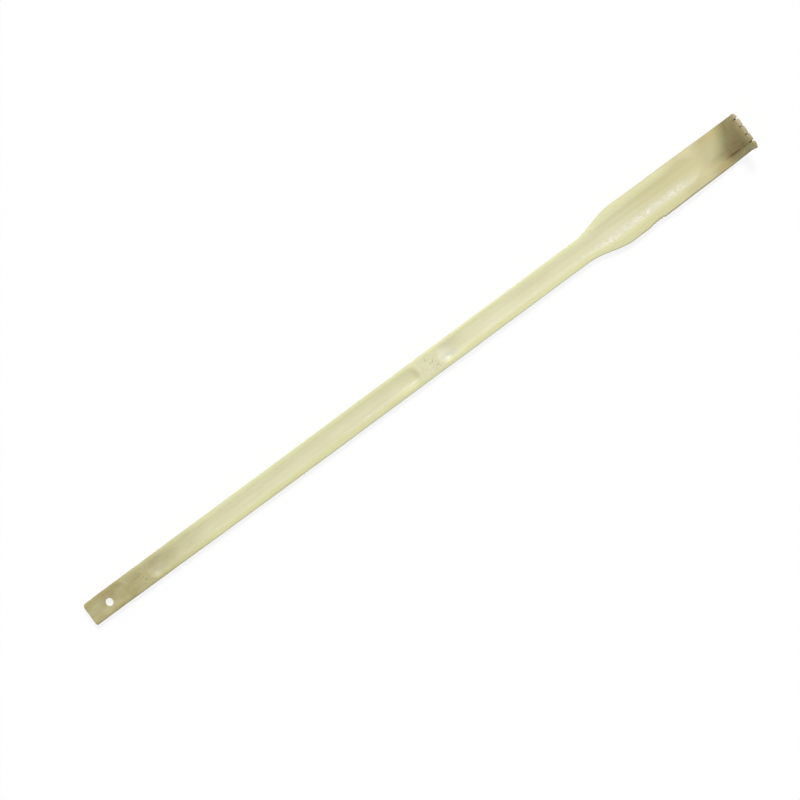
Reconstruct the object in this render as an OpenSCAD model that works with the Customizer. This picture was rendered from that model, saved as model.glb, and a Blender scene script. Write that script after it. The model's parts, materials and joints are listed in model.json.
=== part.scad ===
// Back scratcher made from one split strip of bamboo culm.
// It lies on its back along +X, butt first, with the hollow side and the claw up.
// The origin is on the axis of the hang hole, in the plane that the back lies on.

/* [Strip] */
// Length from the butt to the furthest reach of the claw
overall_len = 500; // [440:1:560]
// Width of the shaft
shaft_w = 16.2; // [15:0.1:20]
// Width of the butt, at the end of the grip's taper
butt_w = 15.4; // [14:0.1:18]
// Length of the grip's taper, from the butt
taper_len = 165; // [80:1:220]
// Radius of the two corners of the butt
corner_r = 1.6; // [0.6:0.1:4]

/* [Culm] */
// Radius of the culm's outer face
culm_r = 36; // [32:0.5:50]
// Thickness of the culm, from its outer face to its hollow
culm_t = 4.4; // [4:0.1:5.5]
// Thickness of the hard skin on the back
skin_t = 0.7; // [0.4:0.05:1]
// Thickness of the papery lining of the hollow
lining_t = 0.15; // [0.1:0.01:0.25]
// Depth of the flat that is sanded along the crown of the back
land_d = 0.15; // [0.05:0.05:0.3]

/* [Hollow] */
// Width of the open hollow along the shaft, which sets how far the shaft is planed
shaft_hollow_w = 9.8; // [8:0.1:10.5]
// Width of the open hollow along the head, which sets how far the head is planed
head_hollow_w = 14.7; // [12:0.1:17]
// Distance from the butt to the centre of the middle septum
middle_septum_at = 258.5; // [200:0.5:320]
// Distance from the butt to the centre of the septum near the grip
grip_septum_at = 37; // [32:0.5:60]
// Length of each septum's bridge between two hollows
septum_len = 14.5; // [8:0.5:24]
// Slope of the hollow's end where it rises to a septum, in degrees
septum_slope = 25; // [15:1:40]
// How much wider the round end of a hollow is than its lining, on each side
end_ease = 1; // [0.5:0.1:2]

/* [Head] */
// Width of the head at its shoulders
head_w = 27.2; // [24:0.1:32]
// Length of the head from its shoulders to the bend
head_len = 77; // [70:0.5:95]
// Length of the flare between the shaft and the head
neck_len = 30.5; // [15:0.5:45]
// Length of the ramp that is planed down to the palm
ramp_len = 16; // [8:0.5:25]
// Length of the level palm between the ramp and the bend
palm_len = 12.5; // [10:0.5:25]
// How far the palm is planed below the floor of the hollow
palm_cut = 0.3; // [0.2:0.05:0.6]
// Length over which the back is planed thinner towards the bend
back_ramp_len = 45; // [25:1:65]

/* [Claw] */
// Width of the claw
claw_w = 25.8; // [24:0.1:29]
// Thickness of the claw
claw_t = 2.7; // [2.2:0.1:3.2]
// Inner radius of the bend
bend_r = 15; // [10:0.5:20]
// Angle that the claw is bent through, in degrees
bend_angle = 90; // [65:1:90]
// Number of fingers
finger_count = 5; // [3:1:5]
// Distance from one saw cut to the next
finger_pitch = 5.6; // [4.5:0.1:6]
// How far the row of saw cuts sits off the middle of the claw
row_shift = 0.8; // [0:0.1:1.5]
// Width of the saw cuts between the fingers
slit_w = 0.8; // [0.5:0.1:1.5]
// Length of the saw cuts, straight down from the tips
slit_len = 3.5; // [3:0.5:9.5]
// Radius of the corners of each fingertip
tip_r = 0.9; // [0.3:0.1:1.2]

/* [Hang hole] */
// Diameter of the hang hole
hole_d = 5; // [3:0.1:6]
// Distance from the butt to the centre of the hang hole
hole_at = 14.5; // [8:0.5:18]

/* [Hidden] */
$fn = 180;
// Spare length of a cutting shape past the face that it cuts
spare = 1;
// Number of straight steps in each side of the neck's curve
neck_steps = 20;
// Number of straight steps in each corner of the butt
corner_steps = 6;

// The culm's hollow has the culm's own axis, at the height that lays the sanded flat at zero
hollow_r = culm_r - culm_t;
axis_z = culm_r - land_d;
floor_z = axis_z - hollow_r;
film_r = hollow_r + lining_t;

// Each rim is planed down to where the hollow opens to the stated width
function rim_z(open_w) = axis_z - sqrt(pow(hollow_r, 2) - pow(open_w / 2, 2));
shaft_z = rim_z(shaft_hollow_w);
head_z = rim_z(head_hollow_w);
palm_z = floor_z - palm_cut;
back_z = palm_z - claw_t;
blank_top = head_z + spare;

// Distances along the strip from the butt
claw_reach = (bend_r + claw_t) * sin(bend_angle);
bend_at = overall_len - claw_reach;
ramp_end = bend_at - palm_len;
ramp_start = ramp_end - ramp_len;
neck_end = bend_at - head_len;
neck_start = neck_end - neck_len;
back_ramp_at = bend_at - back_ramp_len;

// The round end of a hollow is a cone that stands on end, wider than the lining that it ends
film_half_w = sqrt(pow(film_r, 2) - pow(axis_z - shaft_z, 2));
end_r = film_half_w + end_ease;
septum_half = septum_len / 2 + end_r;

// The saw cuts and the edges of the fingers, across the claw
cut_y = [for (i = [1 : finger_count - 1]) (i - finger_count / 2) * finger_pitch + row_shift];
finger_edges = concat(-claw_w / 2, cut_y, claw_w / 2);

// A smooth step from 0 to 1
function ease(u) = u * u * (3 - 2 * u);

// One long side of the strip's outline, from the butt's corner to the bend
function corner_points() = [
    for (i = [0 : corner_steps])
        let (a = 90 * i / corner_steps)
        [corner_r * (1 - cos(a)), butt_w / 2 - corner_r * (1 - sin(a))]];
function neck_points() = [
    for (i = [0 : neck_steps])
        let (u = i / neck_steps)
        [neck_start + neck_len * u, (shaft_w + (head_w - shaft_w) * ease(u)) / 2]];
function side_points() =
    concat(corner_points(), [[taper_len, shaft_w / 2]], neck_points(), [[bend_at, claw_w / 2]]);

// The strip's outline from above: one side out, the other side back
module plan_outline() {
    side = side_points();
    last = len(side) - 1;
    polygon(concat(side, [for (i = [last : -1 : 0]) [side[i][0], -side[i][1]]]));
}

// The strip's outline from the side, from the butt to the bend
module side_outline() {
    polygon([[0, 0], [back_ramp_at, 0], [bend_at, back_z], [bend_at, palm_z], [ramp_end, palm_z],
             [ramp_start, head_z], [neck_end, head_z], [neck_start, shaft_z], [0, shaft_z]]);
}

// A round bar on the culm's axis
module culm_bar(r, from_x, to_x) {
    translate([from_x, 0, axis_z]) rotate([0, 90, 0]) cylinder(h = to_x - from_x, r = r);
}

// The split and planed strip up to the bend, skin and wall together
module blank() {
    intersection() {
        linear_extrude(height = blank_top) plan_outline();
        translate([0, head_w, 0]) rotate([90, 0, 0]) linear_extrude(height = 2 * head_w) side_outline();
        culm_bar(culm_r, -spare, bend_at + spare);
    }
}

// The claw's cross-section, with its distance from the bend's axis along x and its width along y
module claw_section() {
    intersection() {
        translate([bend_r, -claw_w / 2]) square([claw_t, claw_w]);
        translate([bend_r + palm_z - axis_z, 0]) circle(r = culm_r);
    }
}

// Places a shape at the fingertips: x out from the bend's axis, y across, z the way the tips point
module at_tips() {
    translate([bend_at, 0, palm_z + bend_r]) rotate([0, 90 - bend_angle, 0]) children();
}

// One finger's outline, seen square to its tip: x along, ending at zero, and y across
module finger_outline(y0, y1) {
    translate([-slit_len - spare, y0]) square([slit_len + spare - tip_r, y1 - y0]);
    translate([-slit_len, y0 + tip_r]) square([slit_len, y1 - y0 - 2 * tip_r]);
    for (y = [y0 + tip_r, y1 - tip_r]) translate([-tip_r, y]) circle(r = tip_r);
}

// The saw cuts and the rounding of the tips, as one cut through the claw
module finger_cuts() {
    last = len(finger_edges) - 2;
    at_tips()
        translate([bend_r + claw_t + spare, 0, 0]) rotate([0, -90, 0])
            linear_extrude(height = claw_t + slit_len + 2 * spare)
                difference() {
                    translate([-slit_len, -claw_w / 2 - spare]) square([slit_len + spare, claw_w + 2 * spare]);
                    for (i = [0 : last])
                        finger_outline(finger_edges[i] + (i == 0 ? 0 : slit_w / 2),
                                       finger_edges[i + 1] - (i == last ? 0 : slit_w / 2));
                }
}

// The bend with its fingers
module claw() {
    difference() {
        translate([bend_at, 0, palm_z + bend_r]) rotate([90, 0, 0]) rotate([0, 0, -90])
            rotate_extrude(angle = bend_angle) claw_section();
        finger_cuts();
    }
}

// The cone that rounds off the end of a hollow
module hollow_end(at_x, grow) {
    run = 1 / tan(septum_slope);
    low_z = floor_z - lining_t - spare / 2;
    translate([at_x, 0, low_z])
        cylinder(h = blank_top - low_z, r1 = end_r + grow - (shaft_z - low_z) * run,
                 r2 = end_r + grow + (blank_top - shaft_z) * run);
}

// The open space of a hollow, grown by the lining where the wall is cut for it
module hollow_space(from_x, to_x, grow, ends) {
    intersection() {
        culm_bar(hollow_r + grow, from_x - end_r - spare, to_x + end_r + spare);
        union() {
            translate([from_x, -head_w, 0]) cube([to_x - from_x, 2 * head_w, blank_top]);
            for (x = ends) hollow_end(x, grow);
        }
    }
}

// The papery lining of one hollow
module lining(from_x, to_x, ends) {
    intersection() {
        blank();
        difference() {
            hollow_space(from_x, to_x, lining_t, ends);
            hollow_space(from_x, to_x, 0, ends);
        }
    }
}

// The diaphragm that fills the hollow at a joint of the culm
module septum(at_x) {
    intersection() {
        blank();
        difference() {
            culm_bar(film_r, at_x - septum_half, at_x + septum_half);
            for (x = [at_x - septum_half, at_x + septum_half]) hollow_end(x, lining_t);
        }
    }
}

// The drill through the butt
module hang_hole() {
    translate([hole_at, 0, -spare]) cylinder(h = blank_top + 2 * spare, d = hole_d);
}

// Moves a shape from distances along the strip to the part's own origin
module in_place() {
    translate([-hole_at, 0, 0]) children();
}

module culm_wall() {
    color("#d9cf96") in_place() {
        difference() {
            union() {
                intersection() {
                    blank();
                    culm_bar(culm_r - skin_t, -spare, bend_at + spare);
                }
                claw();
            }
            culm_bar(film_r, -spare, ramp_end);
            hang_hole();
        }
    }
}

module outer_skin() {
    color("#c9b878") in_place() {
        difference() {
            blank();
            culm_bar(culm_r - skin_t, -spare, bend_at + spare);
            hang_hole();
        }
    }
}

module middle_septum() {
    color("#cdc7a4") in_place() septum(middle_septum_at);
}

module grip_septum() {
    color("#cdc7a4") in_place() septum(grip_septum_at);
}

module head_lining() {
    from_x = middle_septum_at + septum_half;
    color("#e6ddb8") in_place() lining(from_x, ramp_end, [from_x]);
}

module handle_lining() {
    from_x = grip_septum_at + septum_half;
    to_x = middle_septum_at - septum_half;
    color("#e6ddb8") in_place() lining(from_x, to_x, [from_x, to_x]);
}

module butt_lining() {
    to_x = grip_septum_at - septum_half;
    color("#e6ddb8") in_place() difference() {
        lining(-spare, to_x, [to_x]);
        hang_hole();
    }
}

culm_wall();
outer_skin();
middle_septum();
grip_septum();
head_lining();
handle_lining();
butt_lining();
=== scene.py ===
import json

import bmesh
import bpy
import numpy as np
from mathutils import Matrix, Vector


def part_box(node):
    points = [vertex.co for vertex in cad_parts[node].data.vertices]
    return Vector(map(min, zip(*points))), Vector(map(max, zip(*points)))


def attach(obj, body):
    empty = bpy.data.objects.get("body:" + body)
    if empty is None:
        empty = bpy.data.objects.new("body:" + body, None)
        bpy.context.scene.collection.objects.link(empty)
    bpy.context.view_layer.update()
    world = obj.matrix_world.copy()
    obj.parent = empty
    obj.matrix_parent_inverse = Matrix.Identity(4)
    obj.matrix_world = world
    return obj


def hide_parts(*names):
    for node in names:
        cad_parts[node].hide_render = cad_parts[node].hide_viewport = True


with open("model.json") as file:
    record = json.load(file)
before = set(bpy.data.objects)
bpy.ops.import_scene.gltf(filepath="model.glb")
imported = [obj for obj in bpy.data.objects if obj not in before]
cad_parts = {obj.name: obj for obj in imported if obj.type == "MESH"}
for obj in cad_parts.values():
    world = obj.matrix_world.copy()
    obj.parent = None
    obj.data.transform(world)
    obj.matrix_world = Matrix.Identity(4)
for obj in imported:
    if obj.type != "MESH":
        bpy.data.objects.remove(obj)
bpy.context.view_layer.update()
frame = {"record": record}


# Culm wall: the woody wall of a bamboo culm, split to one long strip and planed level on its inner
# side. The far end is thinned, sawn into five fingers and bent up over heat, which scorches it.
# The strip is laid out flat, in millimetres along, across and up, and its end is then bent.


def solid_box(name):
    """The lowest and the highest corner of one of the frame's solids, in millimetres."""
    low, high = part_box(name)
    return np.array(low) * 1000, np.array(high) * 1000


wall_low, wall_high = solid_box("culm_wall")
butt_end = wall_low[0]
head_half = wall_high[1]
bend_start = solid_box("outer_skin")[1][0]
rim_level = solid_box("middle_septum")[1][2]
film_floor = solid_box("head_lining")[0][2]
head_level = solid_box("head_lining")[1][2]
hole_radius = frame["record"]["mounts"][0]["dims"]["r_mm"]

butt_half = 7.7
butt_corners = (2.2, 1.2)
butt_shift = 0.45
shaft_half = 8.1
claw_half = 12.9
taper_length = 165
neck_end = bend_start - 77
neck_start = neck_end - 30.5
palm_start = bend_start - 12.5
ramp_start = palm_start - 14
palm_level = film_floor - 0.15
claw_thickness = 2.7
bend_radius = 15
tip_end = bend_start + bend_radius * np.radians(90)
nick_start = 403
nick_end = 415.4

cuts = np.array([-7.6, -2.0, 3.6, 9.2])
slit_widths = np.array([0.8, 0.5, 0.5, 0.8])
slit_depths = np.array([4.5, 2.9, 2.9, 4.5])
slit_starts = tip_end - slit_depths
slit_sharpness = np.array([1, 2.5, 2.5, 1])
slit_corners = np.array([0.9, 0.3, 0.3, 0.9])
side_corner = 0.4
widest_rim = 6.5
edge_radius = 0.45
hole_edge = 0.3

film_radius = 31.75
skin_inner_radius = 35.3
skin_outer_radius = 36
culm_axis = film_floor + film_radius
back_ramp_start = bend_start - 45
back_level = palm_level - claw_thickness
seam_gap = 0.004
thinnest = 0.02


def ease(part):
    """A smooth step: three times the square less twice the cube of a part held between 0 and 1."""
    part = np.clip(part, 0, 1)
    return part * part * (3 - 2 * part)


def rounding(gap, radius):
    """How far a rounded edge falls away, at a gap in from that edge: a quarter of a circle."""
    left = np.clip(radius - gap, 0, radius)
    return radius - np.sqrt(radius ** 2 - left ** 2)


def wander(along, start):
    """The slow waver of a blade guided by eye: three sine waves of falling length and height."""
    return (0.5 * np.sin(along / 7.6 + start) + 0.3 * np.sin(along / 3.1 + 2 * start)
            + 0.2 * np.sin(along / 1.4 + 3 * start))


def along_neck(along):
    """The eased part of the neck that lies behind a place: 0 in the shaft and 1 in the head."""
    return ease((along - neck_start) / (neck_end - neck_start))


def along_ramp(along):
    """The eased part of the head's ramp that lies behind a place: 0 before it and 1 in the palm."""
    return ease((along - ramp_start) / (palm_start - ramp_start))


def lay_across(along, part):
    """Places across the strip: a part, from -1 to 1, of the half width there. The half width grows
    from butt to shaft, swells at the neck, narrows to the claw, and is rounded at the butt's corners.
    The two sides differ a little: the butt is off centre, one side fills out along the head, and the
    other has a shallow, jagged nick, is drawn in along the claw and flares again at its tip."""
    from_butt = along - butt_end
    left = part > 0
    half = np.interp(along, [butt_end, butt_end + taper_length], [butt_half, shaft_half])
    half = half + (head_half - shaft_half) * along_neck(along) ** 1.1
    half = half - (head_half - claw_half) * np.clip((along - neck_end) / (bend_start - neck_end), 0, 1)
    half = half - rounding(from_butt, np.where(left, *butt_corners))
    half = half + np.where(left, butt_shift, -butt_shift) * (1 - ease(from_butt / taper_length))
    half = half + np.where(left, 0.08, -0.1) + 0.06 * wander(along, np.where(left, 1.0, 4.0))
    fuller = 0.4 * ease((along - neck_end - 10) / 70) - 0.2 * ease((along - neck_end + 15) / 12)
    half = half + np.where(left, fuller, 0)
    nick = 0.55 + 0.25 * wander(2.1 * along, 0.5) + 0.12 * np.sin(2.6 * along)
    nick = nick * ease((along - nick_start) / 3) * ease((nick_end - along) / 1.2)
    drawn_in = np.interp(along, [neck_end, bend_start, bend_start + 15, tip_end], [0, 0.35, 0.75, 0.1])
    return part * (half - np.where(part < 0, nick + drawn_in, 0))


def planed_level(along):
    """The level that the inner side is planed to: the rims' level in the shaft, up along the neck,
    and down an eased ramp to the palm."""
    raised = (head_level - rim_level) * along_neck(along)
    return rim_level + raised - (head_level - palm_level) * along_ramp(along)


def arc_level(across, radius):
    """The level of a round of the culm's own axis: the axis less the root of radius and place."""
    return culm_axis - np.sqrt(radius ** 2 - across ** 2)


septum_boxes = [solid_box(name) for name in ("grip_septum", "middle_septum")]
joints = np.array([(low[0] + high[0]) / 2 for low, high in septum_boxes])
septum_length = 14.5
film_half = np.sqrt(film_radius ** 2 - (culm_axis - rim_level) ** 2)


def scoop(along, across):
    """How much deeper the hollow is next to a joint: a bowl that is deepest a few millimetres from
    the septum, shallower before the joint than after it, runs out along the hollow, and falls off as
    a parabola to the sides."""
    past = along[..., None] - joints
    off = np.abs(past) - septum_length / 2
    depth = np.where(past < 0, 0.5 * ease(off / 5), 0.9 * ease(off / 8.5))
    depth = depth * ease((24 - off) / 15)
    return depth.sum(-1) * np.maximum(1 - (across / film_half) ** 2, 0)


def lean(along):
    """How far the middle of the hollow lies to one side: not at all in the shaft, and a little in the
    head, by an eased step."""
    return 0.8 * ease((along - neck_start) / 60)


def rolled(hollow, planed, along):
    """The lower of two levels with the crease between them rounded over: half their sum, less half the
    root of their difference squared plus a softness, which is full along the hollows, slight at the
    joints and gone at the palm."""
    clear = np.abs(along[..., None] - joints).min(-1) - septum_length / 2
    softness = 0.0005 + 0.0795 * ease((clear - 2.5) / 6)
    softness = softness * (1 - along_ramp(along))
    return (hollow + planed - np.sqrt((hollow - planed) ** 2 + softness)) / 2


def back_plane(along):
    """The level that the back is planed to: flat, then rising to thin the head for its bend."""
    return np.interp(along, [back_ramp_start, bend_start], [0, back_level])


def skin_seam(along, across):
    """The level where skin meets wall: the skin's inner round, which falls to its outer round as
    the skin is pared away over the last stretch before the bend."""
    pared = ease((along - bend_start + 14) / 14)
    inner = arc_level(across, skin_inner_radius)
    return inner + pared * (arc_level(across, skin_outer_radius) - inner)


def bent(along, across, level):
    """Flat places to real ones, in metres. Past the start of the bend, the way along becomes a turn
    about the bend's axis, and the level becomes the distance from that axis."""
    turn = np.maximum(along - bend_start, 0) / bend_radius
    reach = bend_radius + palm_level - level
    x = np.minimum(along, bend_start) + np.where(turn > 0, reach * np.sin(turn), 0)
    z = np.where(turn > 0, palm_level + bend_radius - reach * np.cos(turn), level)
    return np.stack([x, across, z], -1).reshape(-1, 3) / 1000


def drilled(along, across, keep):
    """Opens the hang hole: a block of cells at the origin is left out, and the grid lines round it
    are drawn from the block's square to the hole's circle, less and less with distance."""
    block = 0.8 * hole_radius
    block_rows = np.flatnonzero(np.abs(along[:, 0]) < block)
    block_columns = np.flatnonzero(np.abs(across[block_rows[0]]) < block)
    first_row, last_row = block_rows[[0, -1]]
    first_column, last_column = block_columns[[0, -1]]
    keep[first_row:last_row, first_column:last_column] = False
    square_x = along / np.where(along > 0, along[last_row], -along[first_row])
    square_y = across / np.where(across > 0, across[:, [last_column]], -across[:, [first_column]])
    square = np.maximum(np.abs(square_x), np.abs(square_y))
    drawn = 1 - ease((square - 1) / 1.3)
    circle = hole_radius * square / np.maximum(np.hypot(square_x, square_y), 0.001)
    return (along + drawn * (circle * square_x - along),
            across + drawn * (circle * square_y - across), keep)


def stations(*spans):
    """Places along a line, from spans of first place, last place and step."""
    parts = [np.linspace(first, last, int(np.ceil((last - first) / step)) + 1)
             for first, last, step in spans]
    return np.unique(np.round(np.concatenate(parts), 6))


def slab(name, along, across, top, under, keep, **paint):
    """A piece laid out flat on a grid and then bent: an upper face, a lower face, and a wall down
    every edge where a kept cell meets one that is left out. The flat places, and each paint's pair
    of values for the upper and the lower face, are kept as attributes for the material."""
    rows, columns = along.shape
    upper = np.arange(rows * columns).reshape(rows, columns)
    lower = upper + rows * columns
    framed = np.pad(keep, 1)
    left, right = framed[1:-1, :-1], framed[1:-1, 1:]
    near, far = framed[:-1, 1:-1], framed[1:, 1:-1]
    corners = [
        (keep, upper[:-1, :-1], upper[1:, :-1], upper[1:, 1:], upper[:-1, 1:]),
        (keep, lower[:-1, :-1], lower[:-1, 1:], lower[1:, 1:], lower[1:, :-1]),
        (right & ~left, upper[:-1], lower[:-1], lower[1:], upper[1:]),
        (left & ~right, upper[:-1], upper[1:], lower[1:], lower[:-1]),
        (far & ~near, upper[:, :-1], upper[:, 1:], lower[:, 1:], lower[:, :-1]),
        (near & ~far, upper[:, :-1], lower[:, :-1], lower[:, 1:], upper[:, 1:]),
    ]
    faces = np.concatenate([np.stack(quad, -1)[where] for where, *quad in corners])
    used, faces = np.unique(faces, return_inverse=True)
    points = np.concatenate([bent(along, across, top), bent(along, across, under)])[used]
    mesh = bpy.data.meshes.new(name)
    mesh.from_pydata(points.tolist(), [], faces.reshape(-1, 4).tolist())
    flat = [np.stack([along, across, level], -1).reshape(-1, 3) for level in (top, under)]
    mesh.attributes.new("grain", "FLOAT_VECTOR", "POINT")
    mesh.attributes["grain"].data.foreach_set("vector", np.concatenate(flat)[used].ravel())
    for label, pair in paint.items():
        values = np.concatenate([np.broadcast_to(face, along.shape).ravel() for face in pair])[used]
        mesh.attributes.new(label, "FLOAT", "POINT")
        mesh.attributes[label].data.foreach_set("value", values)
    mesh.shade_smooth()
    mesh.set_sharp_from_angle(angle=np.radians(42))
    piece = bpy.data.objects.new(name, mesh)
    bpy.context.scene.collection.objects.link(piece)
    return piece


def tones(along, across):
    """How much warmer the wood is towards the head, and how far heat has browned it: a light toast
    over the palm in two eased steps, a burn that starts before the bend, sooner and darker to one
    side, and fades again towards the tips, and a dark line in it with a fainter one beside it."""
    headward = ease((along - neck_start) / 70)
    toasted = 0.26 * ease((along - 420) / 25) + 0.13 * ease((along - 448) / 12)
    strength = np.interp(across, [-12, -9.5, -8, -6, -3, 0, 7, 11],
                         [0.38, 0.46, 0.57, 0.64, 0.58, 0.46, 0.43, 0.5])
    front = np.interp(across, [-11, -9, -7, -3, 0, 7, 11], [455, 456, 457, 453.5, 458, 463, 466.5])
    reach = np.interp(across, [-9, -7, -3, 0, 7], [13.5, 15, 18, 14.5, 13.5])
    fading = np.interp(across, [-10, -7.5, -1, 4], [473, 479, 478, 476.5])
    burn = strength * ease((along - front) / reach) * (1 - 0.9 * ease((along - fading) / 8.5))
    burn_line = np.exp(-((across + 7.05) / 0.5) ** 2) + 0.4 * np.exp(-((across + 5.2) / 0.35) ** 2)
    burn_line = 0.34 * burn_line * ease((along - 460) / 8) * (1 + 0.9 * ease((along - 472) / 7))
    return headward, toasted + burn + burn_line


def back_scorch(along, scorch):
    """How far the heat shows on the back: most of the scorch inside, from just before the bend on."""
    return (0.1 + 0.75 * scorch) * ease((along - bend_start + 6) / 14)


def ripeness(across, headward):
    """How much yellower the wood is along one rim: a bell on the rim of the shaft, and an even share
    along the wider rim of the head."""
    shaft_rim = 0.42 * np.exp(-((across + 5.3) / 1.3) ** 2)
    head_rim = 0.2 * ease((-6.5 - across) / 2)
    return shaft_rim + headward * (head_rim - shaft_rim)


# The columns of the grid follow the edges of the fingers, close together at each edge
finger_first = np.concatenate([[-claw_half], cuts + slit_widths / 2])
finger_last = np.concatenate([cuts - slit_widths / 2, [claw_half]])
edge_steps = np.array([0, 0.06, 0.16, 0.32, 0.56])
edge_width = edge_steps[-1]
inside = np.linspace(0, 1, 8)[1:-1]
finger_columns = np.concatenate([
    finger_first[:, None] + edge_steps,
    finger_first[:, None] + edge_width + (finger_last - finger_first - 2 * edge_width)[:, None] * inside,
    finger_last[:, None] - edge_steps[::-1],
], axis=1)
wall_parts = finger_columns.ravel() / claw_half

# Its rows are close together at the butt, the hole, the nick, the saw cuts and the tips
butt_spans = [(butt_end, butt_end + 0.6, 0.1), (butt_end + 0.6, butt_end + 3, 0.3),
              (butt_end + 3, -5, 0.8), (-5, 5, 0.36)]
before_nick = 400
after_nick = 417
nick_span = (before_nick, after_nick, 0.4)
wall_rows = stations(*butt_spans, (5, 45, 1.2), (45, 210, 2.4), (210, 275, 1.2), (275, 340, 2.4),
                     (340, before_nick, 1.2), nick_span, (after_nick, 430, 1.2), (430, bend_start, 0.8),
                     (bend_start, tip_end - 6, 0.5), (tip_end - 6, tip_end - 1.5, 0.25),
                     (tip_end - 1.5, tip_end, 0.125))
wall_along, part_grid = np.meshgrid(wall_rows, wall_parts, indexing="ij")
wall_across = lay_across(wall_along, part_grid)
wall_keep = np.ones((len(wall_rows) - 1, len(wall_parts) - 1), bool)
slit_cells = np.arange(1, len(finger_first)) * finger_columns.shape[1] - 1
wall_keep[:, slit_cells] = wall_rows[:-1, None] < slit_starts - 0.01
wall_along, wall_across, wall_keep = drilled(wall_along, wall_across, wall_keep)

# Gaps from the edges that are rounded off: sides, butt, hole and saw cuts
side_gap = np.abs(lay_across(wall_along, np.sign(part_grid))) - np.abs(wall_across)
butt_gap = wall_along - butt_end
hole_gap = np.hypot(wall_along, wall_across) - hole_radius
to_cuts = np.abs(part_grid[..., None] * claw_half - cuts) - slit_widths / 2
nearest_cut = to_cuts.argmin(-1)
before_cut = slit_starts[nearest_cut] - wall_along
cut_gap = np.hypot(np.maximum(to_cuts.min(-1), 0), np.maximum(before_cut, 0))
cut_gap = cut_gap * slit_sharpness[nearest_cut]
edge_gap = np.minimum(side_gap, cut_gap)

# The fingertips' corners are rounded, and one gap follows the outline round them
tip_corner = np.where(side_gap < cut_gap, side_corner, slit_corners[nearest_cut])
wall_along = wall_along - ease((wall_along - tip_end) / 3.5 + 1) * rounding(edge_gap, tip_corner)
tip_gap = tip_end - wall_along
in_corner = np.maximum(tip_gap, edge_gap) < tip_corner
corner_gap = tip_corner - np.hypot(tip_corner - tip_gap, tip_corner - edge_gap)
outline_gap = np.where(in_corner, corner_gap, np.minimum(tip_gap, edge_gap))
tipward = 1 - ease(tip_gap / 2.5)

# The inner face is the hollow's round below the planed rims, which are crowned towards the sides; the
# back is the planed level or the seam with the skin, whichever is higher
headward, scorch_in = tones(wall_along, wall_across)
groove = arc_level(wall_across - lean(wall_along), film_radius) - scoop(wall_along, wall_across)
groove_half = np.sqrt(np.maximum(film_radius ** 2 - (culm_axis - planed_level(wall_along)) ** 2, 0))
rim_start = groove_half + np.sign(wall_across) * lean(wall_along)
rim_start = np.maximum(rim_start, side_gap + np.abs(wall_across) - widest_rim)
rim_place = (np.abs(wall_across) - rim_start) / (side_gap + np.abs(wall_across) - rim_start)
crown = (0.35 + 0.1 * headward) * np.clip(rim_place, 0, 1) ** 2
wall_top = rolled(groove, planed_level(wall_along) - crown, wall_along)
wall_under = np.where(wall_along < bend_start, back_plane(wall_along), back_level)
wall_under = np.maximum(wall_under, skin_seam(wall_along, wall_across)) + seam_gap
thickness = wall_top - wall_under
claw_share = ease((wall_along - bend_start + 8) / 8)
top_radius = np.minimum(edge_radius + 0.4 * tipward, 0.42 * thickness)
under_radius = np.minimum(edge_radius + 0.3 * tipward, 0.42 * thickness)
outer_gap = np.minimum(outline_gap, butt_gap)
wall_top = wall_top - rounding(hole_gap, hole_edge) - rounding(outer_gap, top_radius)
wall_under = wall_under + claw_share * rounding(outline_gap, under_radius)

# Paints: wear and painted shade along the edges, a painted highlight along one rim's arris, amber beside
# the burn and at the tips, and the rest of the wood's tones
left_side = wall_across > 0
# Wear and painted shade along the edges: the rounded edges are darkened, most in the head and on the
# side away from the lamp
wear_width = np.where(left_side, 0.7, 0.7 + 0.5 * headward)
wear_strength = np.where(left_side, 0.06 + 0.44 * headward, 0.1 + 0.9 * headward)
edge_wear = wear_strength * (1 - ease(side_gap / wear_width))
amber_start = np.where(left_side, 453, 453.5)
amber_end = np.where(left_side, 480, 471.5)
amber_side = np.where(left_side, ease((wall_across - 6) / 5.5), ease((-3.5 - wall_across) / 5))
amber = amber_side * ease((wall_along - amber_start) / 8) * ease((amber_end - wall_along) / 8)
amber = np.maximum(0.78 * amber, 0.6 * ease((wall_along - 474) / 6))
streak = ease((-2 - wall_across) / 6)
# A painted highlight: a lighter line along the shaft's rim on the side that faces the lamp
arris = 0.25 * ease((wall_across - 5) / 1.5) * (1 - headward)
ripe = ripeness(wall_across, headward)
scorch_out = back_scorch(wall_along, scorch_in)
sawn = 1 - ease(np.minimum(4 * butt_gap, tip_gap))
pale_share = np.interp(wall_across, [-10, -7, -3, 2, 6, 9], [0.2, 0.2, 0.3, 0.55, 0.85, 0.6])
pale = pale_share * (1 - ease((tip_gap - 2) / 9))
culm_wall = slab("culm_wall_piece", wall_along, wall_across, wall_top, wall_under, wall_keep,
                 scorch=(scorch_in, scorch_out), sawn=(sawn, sawn), headward=(headward, headward),
                 edge=(edge_wear, 0.2), amber=(amber, 0.0), streak=(streak, 1.0), pale=(pale, 0.0),
                 arris=(arris, 0.0), ripe=(ripe, ripe))


def tint(red, green, blue):
    """A colour given as it looks on screen, from 0 to 255, made linear for a shader."""
    screen = np.array([red, green, blue]) / 255
    linear = np.where(screen <= 0.04045, screen / 12.92, ((screen + 0.055) / 1.055) ** 2.4)
    return (*linear.tolist(), 1.0)


def add_node(tree, kind, inputs, **settings):
    """One node of a material, with its settings, and its inputs set to values or linked to sockets."""
    node = tree.nodes.new("ShaderNode" + kind)
    for key, value in settings.items():
        setattr(node, key, value)
    for key, value in inputs.items():
        if isinstance(value, bpy.types.NodeSocket):
            tree.links.new(value, node.inputs[key])
        else:
            node.inputs[key].default_value = value
    return node


def painted(tree, label):
    """The value of one of the piece's own paint attributes."""
    return add_node(tree, "Attribute", {}, attribute_name=label).outputs["Fac"]


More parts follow.
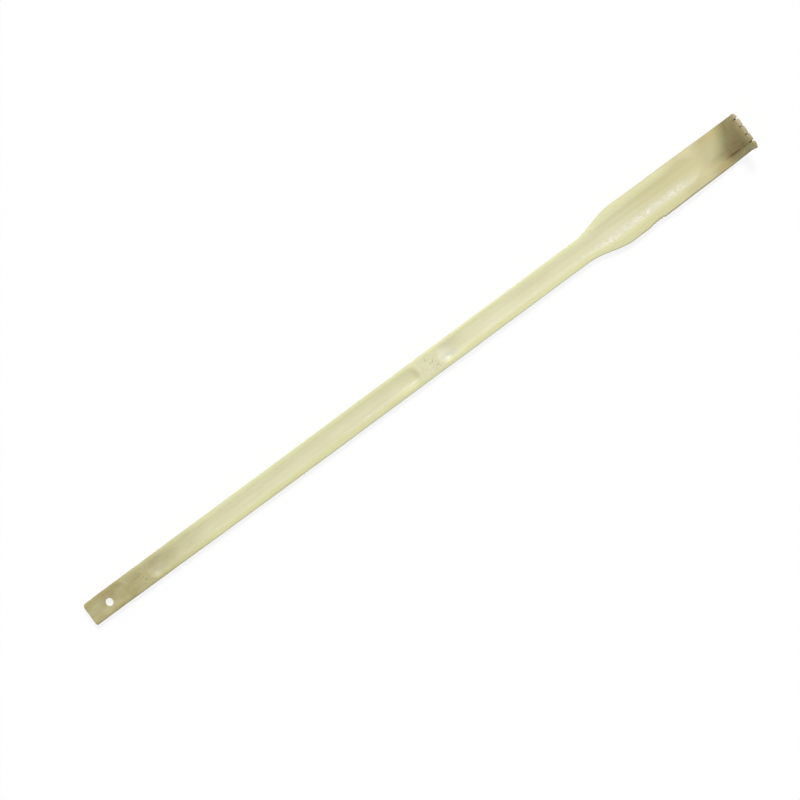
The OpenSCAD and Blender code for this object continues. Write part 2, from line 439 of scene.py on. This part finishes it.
def fibres(tree, stretch, scale, detail):
    """Noise on the flat places of the piece, drawn out along the grain, its scale per millimetre."""
    grain = add_node(tree, "Attribute", {}, attribute_name="grain").outputs["Vector"]
    drawn = add_node(tree, "Mapping", {"Vector": grain, "Scale": (stretch, 1, 1)}).outputs["Vector"]
    inputs = {"Vector": drawn, "Scale": scale, "Detail": detail}
    return add_node(tree, "TexNoise", inputs).outputs["Fac"]


def span(tree, value, low, high, first=0.0, last=1.0):
    """A value taken from one range to another and held inside it."""
    inputs = {"Value": value, "From Min": low, "From Max": high, "To Min": first, "To Max": last}
    return add_node(tree, "MapRange", inputs).outputs["Result"]


def sums(tree, operation, one, other):
    """One step of arithmetic on two values."""
    return add_node(tree, "Math", {0: one, 1: other}, operation=operation).outputs["Value"]


def shades(tree, value, *stops):
    """A run of colours along a value, from stops of place and colour."""
    node = add_node(tree, "ValToRGB", {"Fac": value})
    elements = node.color_ramp.elements
    while len(elements) < len(stops):
        elements.new(0.5)
    for element, (place, colour) in zip(elements, stops):
        element.position = place
        element.color = colour
    return node.outputs["Color"]


def over(tree, share, below, above):
    """One colour laid over another by a share of it."""
    node = add_node(tree, "Mix", {}, data_type="RGBA")
    for key, value in (("Factor_Float", share), ("A_Color", below), ("B_Color", above)):
        socket = next(s for s in node.inputs if s.identifier == key)
        if isinstance(value, bpy.types.NodeSocket):
            tree.links.new(value, socket)
        else:
            socket.default_value = value
    return next(s for s in node.outputs if s.identifier == "Result_Color")


def finish(name, **sockets):
    """A new material with the sockets of its shader set that are the same all over."""
    material = bpy.data.materials.new(name)
    material.use_nodes = True
    tree = material.node_tree
    shader = tree.nodes["Principled BSDF"]
    for key, value in sockets.items():
        shader.inputs[key.replace("_", " ")].default_value = value
    return material, tree, shader


def relief(tree, shader, height, depth):
    """Fine relief of the surface, from a height between 0 and 1 and its depth in metres."""
    bump = add_node(tree, "Bump", {"Height": height, "Strength": 1.0, "Distance": depth})
    tree.links.new(bump.outputs["Normal"], shader.inputs["Normal"])


def wood_colour(tree):
    """The colour of planed bamboo: pale straw in long streaks, with short brown vessels in it, warmer
    towards the head, and browned in streaks by heat."""
    streaks = fibres(tree, 0.012, 0.8, 4)
    straw = shades(tree, streaks, (0.3, tint(215, 213, 164)), (0.5, tint(221, 220, 174)),
                   (0.7, tint(226, 226, 183)))
    vessels = span(tree, fibres(tree, 0.06, 4.0, 1), 0.58, 0.72, 0.0, 0.4)
    straw = over(tree, vessels, straw, tint(188, 176, 124))
    patches = span(tree, fibres(tree, 0.2, 0.09, 2), 0.3, 0.7, 0.3, 1.0)
    warm = sums(tree, "MULTIPLY", painted(tree, "headward"), patches)
    straw = over(tree, warm, straw, tint(213, 205, 157))
    straw = over(tree, painted(tree, "ripe"), straw, tint(212, 206, 144))
    streaks = span(tree, fibres(tree, 0.06, 1.1, 3), 0.3, 0.7, -0.18, 0.18)
    depth = span(tree, painted(tree, "streak"), 0.0, 1.0, 0.25, 1.0)
    smoky = span(tree, fibres(tree, 0.6, 0.16, 3), 0.25, 0.75, 0.94, 1.06)
    uneven = sums(tree, "ADD", sums(tree, "MULTIPLY", streaks, depth), smoky)
    burn = sums(tree, "MULTIPLY", painted(tree, "scorch"), uneven)
    burnt = shades(tree, span(tree, burn, 0.0, 1.25),
                   (0.0, tint(217, 210, 163)), (0.24, tint(203, 195, 150)), (0.44, tint(180, 175, 129)),
                   (0.56, tint(165, 160, 117)), (0.68, tint(148, 137, 96)), (0.8, tint(127, 113, 76)),
                   (1.0, tint(98, 82, 48)))
    return over(tree, span(tree, burn, 0.0, 0.2), straw, burnt)


def handled(tree, colour):
    """The colour with a brown cast in clouds, partly a patina from handling and partly a painted shade
    over the grip: strong at the butt, less along the shaft, and gone past the middle joint."""
    grain = add_node(tree, "Attribute", {}, attribute_name="grain").outputs["Vector"]
    along = add_node(tree, "SeparateXYZ", {"Vector": grain}).outputs["X"]
    clouds = span(tree, fibres(tree, 0.5, 0.2, 3), 0.25, 0.75, 0.75, 1.25)
    at_butt = span(tree, along, 15, 90, 0.85, 0.0)
    on_handle = span(tree, along, 215, 235, 0.1, 0.0)
    share = sums(tree, "MAXIMUM", at_butt, on_handle)
    share = sums(tree, "MULTIPLY", share, clouds)
    return over(tree, share, colour, tint(162, 151, 101))


# A dark tone for the worn edges and their painted shade, and for a share of the back
worn_wood = tint(146, 136, 94)
wall_finish, tree, shader = finish("planed_bamboo", Specular_IOR_Level=0.35)
colour = wood_colour(tree)
grain_end = add_node(tree, "Attribute", {}, attribute_name="grain").outputs["Vector"]
pores = add_node(tree, "Mapping", {"Vector": grain_end, "Scale": (0.0, 1, 1)}).outputs["Vector"]
pores = add_node(tree, "TexVoronoi", {"Vector": pores, "Scale": 1.8}).outputs["Distance"]
across_end = add_node(tree, "SeparateXYZ", {"Vector": grain_end}).outputs["Y"]
end_wood = over(tree, span(tree, across_end, -10, 6), tint(157, 143, 99), tint(190, 176, 143))
end_wood = over(tree, span(tree, pores, 0.1, 0.35, 0.85, 0.0), end_wood, tint(132, 112, 76))
colour = over(tree, sums(tree, "MULTIPLY", painted(tree, "amber"), 0.75), colour, tint(188, 171, 115))
colour = over(tree, painted(tree, "pale"), colour, tint(222, 207, 158))
# Painted highlight along that rim's arris
colour = over(tree, painted(tree, "arris"), colour, tint(229, 229, 190))
# Wear and painted shade along the edges
colour = over(tree, painted(tree, "edge"), colour, worn_wood)
colour = over(tree, painted(tree, "sawn"), colour, end_wood)
tree.links.new(handled(tree, colour), shader.inputs["Base Color"])
hairs = fibres(tree, 0.02, 5.0, 2)
tree.links.new(span(tree, hairs, 0.3, 0.7, 0.42, 0.58), shader.inputs["Roughness"])
relief(tree, shader, hairs, 0.00006)
culm_wall.data.materials.append(wall_finish)
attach(culm_wall, "root")
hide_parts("culm_wall")


# Outer skin: the hard, smooth rind of the culm along the back of the strip, scraped clean. It has a
# faint ring at each joint of the culm, and is planed away where the head is thinned for the bend.
# The two sides of its grid part along the middle, where the planing cuts through to the wall.
half_steps = np.array([0, 0.02, 0.06, 0.12, 0.2, 0.3, 0.4, 0.5, 0.6, 0.7, 0.8, 0.88, 0.94, 0.975,
                       0.99, 1])
skin_parts = np.concatenate([-half_steps[::-1], half_steps])
skin_sides = np.repeat([-1.0, 1.0], len(half_steps))
middle_cell = len(half_steps) - 1
skin_rows = stations(*butt_spans, (5, before_nick, 2.2), nick_span, (after_nick, bend_start, 0.8),
                     *[(joint - 3, joint + 3, 0.2) for joint in joints])
skin_along, part_grid = np.meshgrid(skin_rows, skin_parts, indexing="ij")
bare_reach = skin_inner_radius ** 2 - (culm_axis - back_plane(skin_along)) ** 2
bare_half = np.sqrt(np.maximum(bare_reach, 0))
side_half = np.abs(lay_across(skin_along, skin_sides))
skin_across = skin_sides * (bare_half + np.abs(part_grid) * (side_half - bare_half))
skin_keep = np.ones((len(skin_rows) - 1, len(skin_parts) - 1), bool)
skin_keep[:, middle_cell] = bare_half[1:, middle_cell] == 0
skin_along, skin_across, skin_keep = drilled(skin_along, skin_across, skin_keep)
side_gap = np.abs(lay_across(skin_along, skin_sides)) - np.abs(skin_across)
butt_gap = skin_along - butt_end
hole_gap = np.hypot(skin_along, skin_across) - hole_radius
skin_top = np.maximum(skin_seam(skin_along, skin_across), back_plane(skin_along) + thinnest)
skin_top = skin_top + ease((skin_along - bend_start + 8) / 8) * rounding(side_gap, edge_radius)
skin_under = np.maximum(arc_level(skin_across, skin_outer_radius), back_plane(skin_along))
past = skin_along[..., None] - joints - 0.35 * wander(1.3 * skin_across, 2.0)[..., None]
ring = (np.exp(-(past / 0.45) ** 2) + 0.45 * np.exp(-((past - 2.1) / 0.7) ** 2)).sum(-1)
pared = ease((skin_along - bend_start + 30) / 30)
headward, scorch_in = tones(skin_along, skin_across)
scorch_out = back_scorch(skin_along, scorch_in)
skin_under = skin_under + rounding(np.minimum(side_gap, butt_gap), edge_radius)
skin_under = skin_under + rounding(hole_gap, hole_edge)
skin_under = np.minimum(skin_under + 0.1 * ring, skin_top - thinnest)
outer_skin = slab("outer_skin_piece", skin_along, skin_across, skin_top, skin_under, skin_keep,
                  ring=(ring, ring), pared=(pared, pared), headward=(headward, headward),
                  scorch=(scorch_out, scorch_out), streak=(1.0, 1.0))
skin_mesh = bmesh.new()
skin_mesh.from_mesh(outer_skin.data)
bmesh.ops.remove_doubles(skin_mesh, verts=skin_mesh.verts, dist=0.000002)
skin_mesh.to_mesh(outer_skin.data)
skin_mesh.free()

skin_finish, tree, shader = finish("scraped_bamboo_skin", Specular_IOR_Level=0.5)
streaks = fibres(tree, 0.008, 0.9, 4)
colour = shades(tree, streaks, (0.3, tint(198, 182, 118)), (0.5, tint(211, 198, 136)),
                (0.7, tint(221, 211, 154)))
blotches = span(tree, fibres(tree, 0.3, 0.12, 3), 0.5, 0.7, 0.0, 0.5)
colour = over(tree, blotches, colour, tint(190, 166, 100))
colour = over(tree, span(tree, painted(tree, "ring"), 0.1, 0.9, 0.0, 0.7), colour, tint(142, 116, 66))
pared_wood = over(tree, 0.2, wood_colour(tree), worn_wood)
colour = over(tree, painted(tree, "pared"), colour, pared_wood)
tree.links.new(handled(tree, colour), shader.inputs["Base Color"])
hairs = fibres(tree, 0.02, 6.0, 2)
matt = span(tree, painted(tree, "pared"), 0.0, 1.0, 0.0, 0.17)
rough = sums(tree, "ADD", span(tree, hairs, 0.3, 0.7, 0.26, 0.4), matt)
tree.links.new(rough, shader.inputs["Roughness"])
relief(tree, shader, hairs, 0.00002)
outer_skin.data.materials.append(skin_finish)
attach(outer_skin, "root")
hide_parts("outer_skin")


# Septa: the hard diaphragms that close the culm at its joints, sawn and planed flush with the rims.
# The tissue is short and tangled, so the cut face tears and stays pitted.
hollow_radius = 31.6
lining_thickness = film_radius - hollow_radius
end_radius = film_half + 1
septum_half = septum_length / 2 + end_radius
pit_count = 20
pit_length = 2.2
diagonal = 1.41
# The least and the most of a pit's place along and across, its radius and its depth
pit_least = (-1.9, -4.6, 0.24, 0.1)
pit_most = (1.5, 4.6, 0.42, 0.2)

septum_finish, tree, shader = finish("pitted_septum", Specular_IOR_Level=0.3)
tissue = fibres(tree, 0.6, 0.9, 4)
colour = shades(tree, tissue, (0.3, tint(213, 210, 170)), (0.5, tint(219, 217, 178)),
                (0.7, tint(225, 223, 187)))
# Darker in the pits, by their depth, which is a painted shade in them, and lighter where the burr stands
# up beside them
colour = over(tree, span(tree, painted(tree, "pit"), 0.1, 0.8, 0.0, 0.6), colour, tint(170, 163, 118))
colour = over(tree, span(tree, painted(tree, "pit"), -0.1, -0.4, 0.0, 0.6), colour, tint(236, 234, 208))
tree.links.new(handled(tree, colour), shader.inputs["Base Color"])
crumbs = fibres(tree, 1.0, 2.4, 4)
tree.links.new(span(tree, crumbs, 0.3, 0.7, 0.5, 0.75), shader.inputs["Roughness"])
relief(tree, shader, crumbs, 0.00004)


def septum(node, joint, seed):
    """One septum: a grid from one hollow's round end to the other's, its length at each place across
    found from that round. Its top is flush, less slanting bells of pits, in a patch nearer the head,
    with a smaller bell of torn-up burr beside each; its underside lies on the wall."""
    ways, parts = np.meshgrid(np.linspace(-1, 1, 91), np.linspace(-1, 1, 61), indexing="ij")
    across = film_half * parts
    half = septum_half - np.sqrt((end_radius + lining_thickness) ** 2 - across ** 2)
    along = joint + half * ways
    random = np.random.default_rng(seed)
    pit_along, pit_across, pit_radius, pit_depth = random.uniform(pit_least, pit_most, (pit_count, 4)).T
    pit_along = pit_along + 2.7 - 0.4 * pit_across
    ahead = along[..., None] - joint - pit_along
    slant = (ahead + across[..., None] - pit_across) / diagonal
    aside = (ahead - across[..., None] + pit_across) / diagonal
    torn = np.exp(-((slant / pit_length) ** 2 + aside ** 2) / pit_radius ** 2)
    burr = np.exp(-((slant / pit_length) ** 2 + (aside + 0.7) ** 2) / pit_radius ** 2)
    pit = (pit_depth * (torn - 0.4 * burr)).sum(-1)
    top = rim_level - 0.012 - np.clip(pit, -0.06, 0.3) * ease((1 - np.abs(parts)) / 0.1)
    under = np.minimum(arc_level(across, film_radius), top - thinnest)
    keep = np.ones((ways.shape[0] - 1, ways.shape[1] - 1), bool)
    depth = pit / pit_most[3]
    piece = slab(node + "_piece", along, across, top, under, keep, pit=(depth, depth))
    piece.data.materials.append(septum_finish)
    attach(piece, "root")
    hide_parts(node)


septum("grip_septum", joints[0], 5)
septum("middle_septum", joints[1], 11)


# Linings: the papery film that a culm grows inside each hollow, left on along the bottom of the
# trough. It is smooth, pale and a little glossy, and ends in a rounded bowl against each septum.
# Planing has cut its edges flush with the rims, and the ramp to the palm runs it out to a point.
film_rise = 0.03
bow_length = 7
ramp_places = np.linspace(ramp_start, palm_start, 200)
film_end = ramp_places[planed_level(ramp_places) > film_floor + thinnest][-1]
lining_finish, tree, shader = finish("papery_lining", Specular_IOR_Level=0.42)
streaks = fibres(tree, 0.02, 0.6, 3)
paper = shades(tree, streaks, (0.3, tint(219, 216, 177)), (0.5, tint(223, 220, 183)),
               (0.7, tint(227, 224, 189)))
aged = shades(tree, streaks, (0.3, tint(206, 199, 149)), (0.5, tint(209, 202, 153)),
              (0.7, tint(212, 206, 158)))
paper = over(tree, painted(tree, "headward"), paper, aged)
clouds = span(tree, fibres(tree, 0.4, 0.09, 3), 0.35, 0.7, 0.0, 0.4)
paper = over(tree, clouds, paper, tint(207, 203, 155))
# A painted sheen: whiter film along the head's lower wall, which faces the lamp
paper = over(tree, painted(tree, "bloom"), paper, tint(214, 212, 200))
# A painted pale glow on the lit upper side of each bowl's end after a joint
paper = over(tree, painted(tree, "frost"), paper, tint(233, 231, 211))
# A painted shade round the highlight, on the lower side of each bowl's end after a joint
paper = over(tree, painted(tree, "dull"), paper, tint(206, 208, 186))
# A painted shade in the crescent at a bowl's end before a joint, which faces away from the lamp
paper = over(tree, painted(tree, "crease"), paper, tint(186, 180, 122))
specks = span(tree, fibres(tree, 0.7, 1.5, 2), 0.66, 0.74, 0.0, 0.4)
paper = over(tree, specks, paper, tint(168, 158, 108))
colour = over(tree, painted(tree, "rim"), paper, wood_colour(tree))
# Loose bits of white film on the lower wall, whose white also stands for painted glints where the wall
# faces the lamp
clusters = span(tree, fibres(tree, 0.6, 0.16, 2), 0.35, 0.6, 0.62, 1.0)
scraps = span(tree, fibres(tree, 0.6, 0.8, 4), 0.4, 0.72)
scraps = sums(tree, "MULTIPLY", scraps, painted(tree, "scrap"))
colour = over(tree, sums(tree, "MULTIPLY", scraps, clusters), colour, tint(240, 238, 225))
tree.links.new(handled(tree, colour), shader.inputs["Base Color"])
flakes = fibres(tree, 0.5, 1.1, 3)
matt = span(tree, painted(tree, "polish"), 0.0, 1.0, 1.0, 0.28)
rough = sums(tree, "MULTIPLY", span(tree, flakes, 0.3, 0.7, 0.44, 0.56), matt)
tree.links.new(rough, shader.inputs["Roughness"])
relief(tree, shader, sums(tree, "MULTIPLY", flakes, matt), 0.000032)


def lining(node, first, last, round_first, round_last):
    """One lining, from one end of its hollow to the other. A round end bows out by the chord of its
    circle. The upper face is the hollow's round plus a bowl's rise in each end, held softly below
    the planed level; the lower face lies on the wall, and under the bowls on the septum."""
    rows = stations((first, first + bow_length, 0.4), (first + bow_length, last - bow_length, 1.5),
                    (last - bow_length, last, 0.4))
    if first < 0:
        rows = stations((first, first + 0.6, 0.1), (first + 0.6, 5, 0.4), (5, last, 0.8))
    edges = 1 - np.array([0, 0.01, 0.03, 0.06, 0.1, 0.15, 0.2, 0.26])
    columns = np.concatenate([-edges, np.linspace(-0.68, 0.68, 18), edges[::-1]])
    level = planed_level(rows)
    half = np.sqrt(np.maximum(film_radius ** 2 - (culm_axis - level) ** 2, 0.01))
    along, parts = np.meshgrid(rows, columns, indexing="ij")
    across = parts * half[:, None]
    bow = np.sqrt(np.maximum((end_radius + lining_thickness) ** 2 - across ** 2, 0))
    bow_last = round_last * bow * ease((along - last + bow_length) / bow_length)
    bow_first = round_first * bow * ease((first + bow_length - along) / bow_length)
    along = along + bow_last - bow_first
    keep = np.ones((len(rows) - 1, len(columns) - 1), bool)
    if first < 0:
        along, across, keep = drilled(along, across, keep)
    beyond = np.maximum(round_first * (first - along), round_last * (along - last))
    bowl = (rim_level - film_floor - film_rise) * (np.maximum(beyond, 0) / end_radius) ** 3
    sunk = scoop(along, across)
    floor_level = arc_level(across, film_radius)
    top = rolled(floor_level + film_rise + bowl - sunk, planed_level(along), along) + seam_gap
    wall = rolled(floor_level - sunk, planed_level(along), along) + seam_gap
    in_bowl = ease((beyond - 1.5) / 2)
    top = wall + (top - wall) * np.maximum(ease((half[:, None] - np.abs(across)) / 0.9), in_bowl)
    edge_gap = np.minimum(half[:, None] - np.abs(across), along - butt_end)
    worn = 0.04 * (1 - ease(edge_gap / 0.5)) * (1 - in_bowl)
    top = top - rounding(along - butt_end, edge_radius) - worn
    under = np.maximum(floor_level - sunk, top - lining_thickness)
    under = np.minimum(under, top - thinnest)

    # Paints: planed wood at the rims and lips; a painted sheen along the head's lower wall; a painted
    # pale glow on the lit side of each bowl after a joint, and a painted shade round the highlight lower
    # in it; a painted shade in the crescent at a bowl's far end; and loose bits of white film, which
    # also stand for painted glints
    headward, scorch = tones(along, across)
    in_head = ease((along - neck_start) / 20)
    handle_rim = 1.2 * ease((joints[1] - along) / 10)
    rim_width = np.where(across < 0, 2.6 - 1.2 * headward, 1.4) + handle_rim
    rim = ease((np.abs(across) - half[:, None] + rim_width) / (rim_width - 0.3))
    rim = np.maximum(rim, ease((along - film_end + 5) / 5))
    lip = ease(beyond / 1.5) * (1 - ease((bow - beyond) / 2.4))
    rim = np.maximum(rim, 0.85 * lip)
    # Painted sheen along the head's lower wall
    bloom = 0.34 * in_head * np.exp(-((across + 5.2) / 4.2) ** 2) * ease((455 - along) / 22)
    # Painted glow on the lit end of a bowl after a joint
    frost = 0.5 * round_first * ease((first + 6 - along) / 9) * ease((across + 2.5) / 3)
    # Bits of film along the lower wall, partly real and partly painted glints
    scrap = np.exp(-((across + 3.1 + 1.7 * in_head) / (0.9 + 1.3 * in_head)) ** 2)
    scrap = scrap * (0.7 + 0.25 * in_head) * ease((444 - along) / 16)
    scrap = scrap * np.interp(along, [170, 195, 238, 262, 300, 325], [0.15, 1, 1, 0.4, 0.4, 1])
    polish = ease(sunk / 0.8) * np.where(along < first + 30, 0.6 + 0.4 * round_first, 0.6)
    # Painted shade round the bowl's highlight
    dull = 0.75 * round_first * ease((first + 10 - along) / 9) * ease((1 - across) / 3)
    # Painted shade in the crescent at a bowl's far end
    crease = 0.34 * round_last * np.exp(-((bow - along + last - 1.6) / 1.9) ** 2 - (across / 3.2) ** 2)
    across = across + lean(along)
    ripe = ripeness(across, headward)
    piece = slab(node + "_piece", along, across, top, under, keep, rim=(rim, rim),
                 headward=(headward, headward), scorch=(scorch, scorch), ripe=(ripe, ripe),
                 bloom=(bloom, bloom), frost=(frost, frost), dull=(dull, dull), crease=(crease, crease),
                 scrap=(scrap, scrap), polish=(polish, polish))
    piece.data.materials.append(lining_finish)
    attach(piece, "root")
    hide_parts(node)


lining("butt_lining", butt_end + 0.04, joints[0] - septum_half, 0, 1)
lining("handle_lining", joints[0] + septum_half, joints[1] - septum_half, 1, 1)
lining("head_lining", joints[1] + septum_half, film_end, 1, 0)


# Floor, light and camera: a plain white table, one broad soft lamp from the upper side of the
# picture with an even white room round it, and a camera straight above the strip.


def looked_at(tree):
    """1 where a ray comes from the camera, straight or by way of gloss or glass, and 0 for the light
    that falls on things: the greatest of the three kinds of ray."""
    path = add_node(tree, "LightPath", {}).outputs
    seen = sums(tree, "MAXIMUM", path["Is Camera Ray"], path["Is Glossy Ray"])
    return sums(tree, "MAXIMUM", seen, path["Is Transmission Ray"])


floor_half = 4
table_glow = 0.86
floor_corners = [(-floor_half, -floor_half, 0), (floor_half, -floor_half, 0),
                 (floor_half, floor_half, 0), (-floor_half, floor_half, 0)]
floor_mesh = bpy.data.meshes.new("floor")
floor_mesh.from_pydata(floor_corners, [], [(0, 1, 2, 3)])
floor = bpy.data.objects.new("floor", floor_mesh)
bpy.context.scene.collection.objects.link(floor)
floor_finish, tree, shader = finish("white_table", Base_Color=(0.97, 0.97, 0.97, 1), Roughness=0.9,
                                    Specular_IOR_Level=0.0)
glow = add_node(tree, "Emission", {"Color": (1, 1, 1, 1), "Strength": 1.0}).outputs["Emission"]
whiteness = sums(tree, "MULTIPLY", looked_at(tree), table_glow)
paled = add_node(tree, "MixShader", {0: whiteness, 1: shader.outputs["BSDF"], 2: glow}).outputs["Shader"]
tree.links.new(paled, tree.nodes["Material Output"].inputs["Surface"])
floor.data.materials.append(floor_finish)

picture_turn = np.radians(36.54)
lamp_tilt = np.radians(38)
lamp_spread = np.radians(17)
room_light = 0.35
lamp = bpy.data.objects.new("lamp", bpy.data.lights.new("lamp", "SUN"))
lamp.data.energy = (1 - room_light) * np.pi / np.cos(lamp_tilt)
lamp.data.angle = lamp_spread
lamp.rotation_euler = (lamp_tilt, 0, np.pi - picture_turn)
bpy.context.scene.collection.objects.link(lamp)

world = bpy.data.worlds.new("white_room")
world.use_nodes = True
bpy.context.scene.world = world
tree = world.node_tree
room = tree.nodes["Background"]
room.inputs["Color"].default_value = (1, 1, 1, 1)
tree.links.new(span(tree, looked_at(tree), 0.0, 1.0, room_light, 1.0), room.inputs["Strength"])

camera_height = 2.5
picture_width = 0.4908
picture_centre = (0.21717, -0.00655)
sensor_width = 36
camera = bpy.data.objects.new("camera", bpy.data.cameras.new("camera"))
camera.data.sensor_width = sensor_width
camera.data.lens = sensor_width * camera_height / picture_width
camera.location = (*picture_centre, camera_height + rim_level / 1000)
camera.rotation_euler = (0, 0, -picture_turn)
bpy.context.scene.collection.objects.link(camera)
bpy.context.scene.camera = camera
bpy.context.scene.view_settings.view_transform = "Standard"

bpy.context.view_layer.update()
